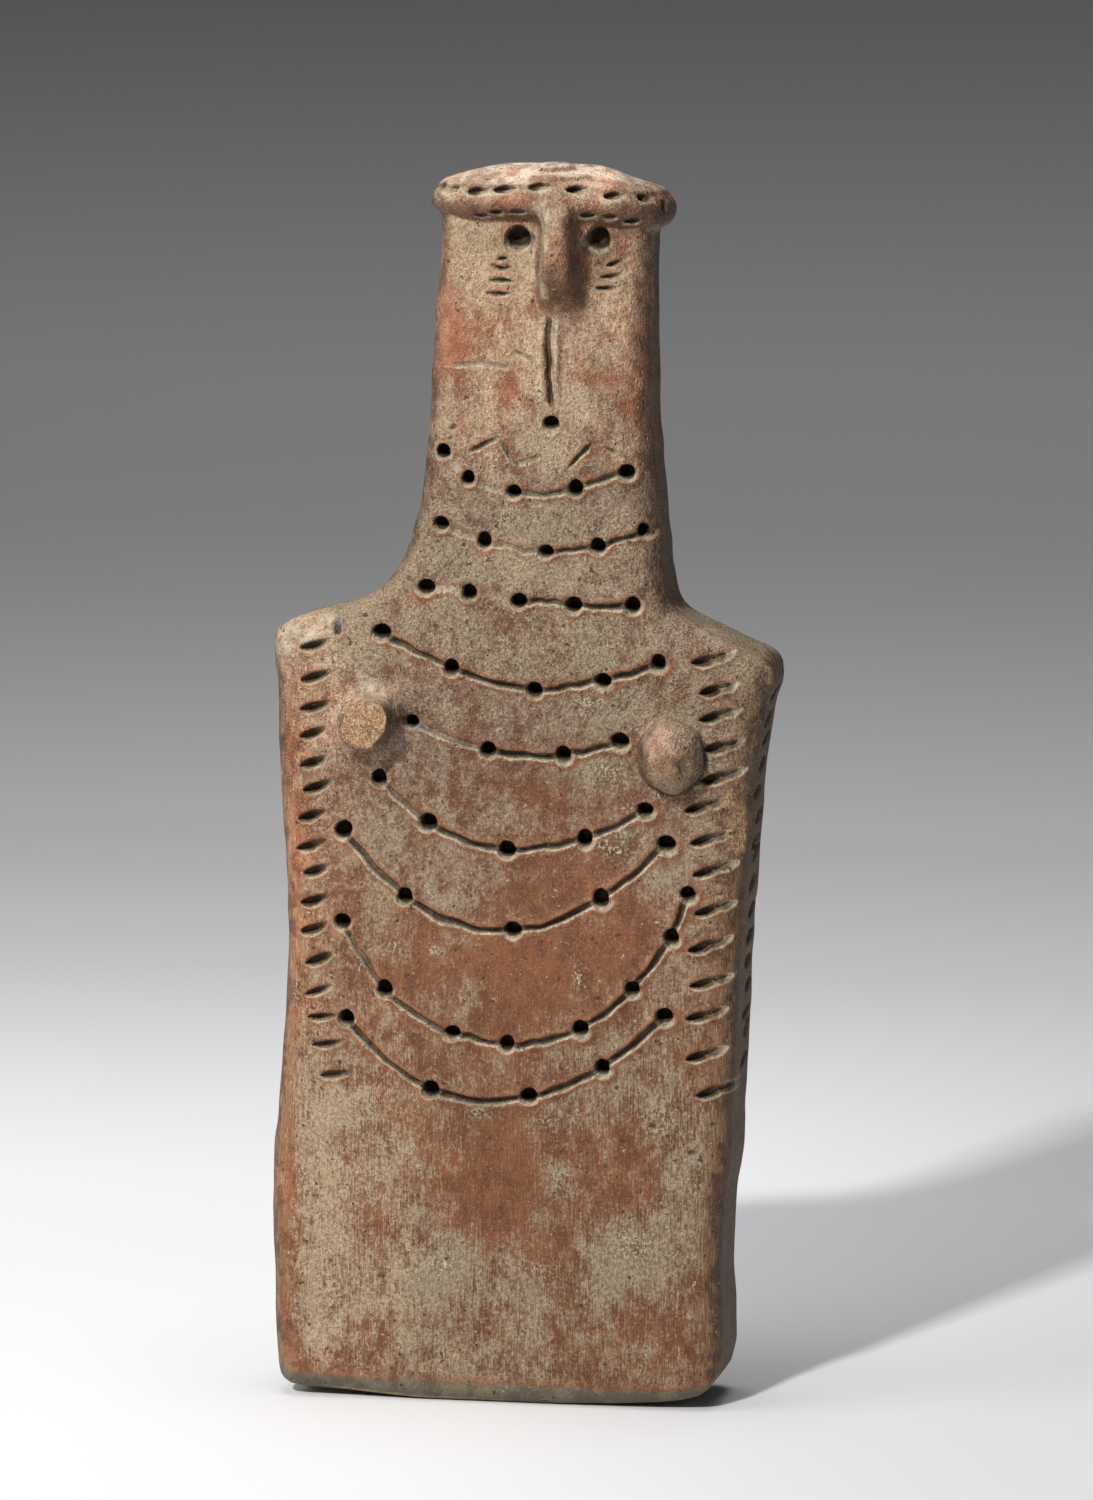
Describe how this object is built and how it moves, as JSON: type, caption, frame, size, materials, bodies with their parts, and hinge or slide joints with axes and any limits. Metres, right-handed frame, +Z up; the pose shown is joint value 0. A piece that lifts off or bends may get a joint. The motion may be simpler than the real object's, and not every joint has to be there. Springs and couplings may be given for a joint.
{
  "type": "plank figurine",
  "caption": "Flat standing clay figurine with a long head under a domed cap, a wedge nose, applied breasts and pressed and incised necklaces.",
  "frame": {"origin": "middle of the bounding box at the level the foot stands on", "axes": "+Z up from the foot to the cap, the face looks along -Y, +X is to the viewer's right"},
  "size_m": [0.1064, 0.0388, 0.26],
  "materials": {
    "clay": "worn burnished red slip over fired clay with pale burial deposit"
  },
  "bodies": {
    "root": {"figurine": "clay"}
  },
  "joints": []
}
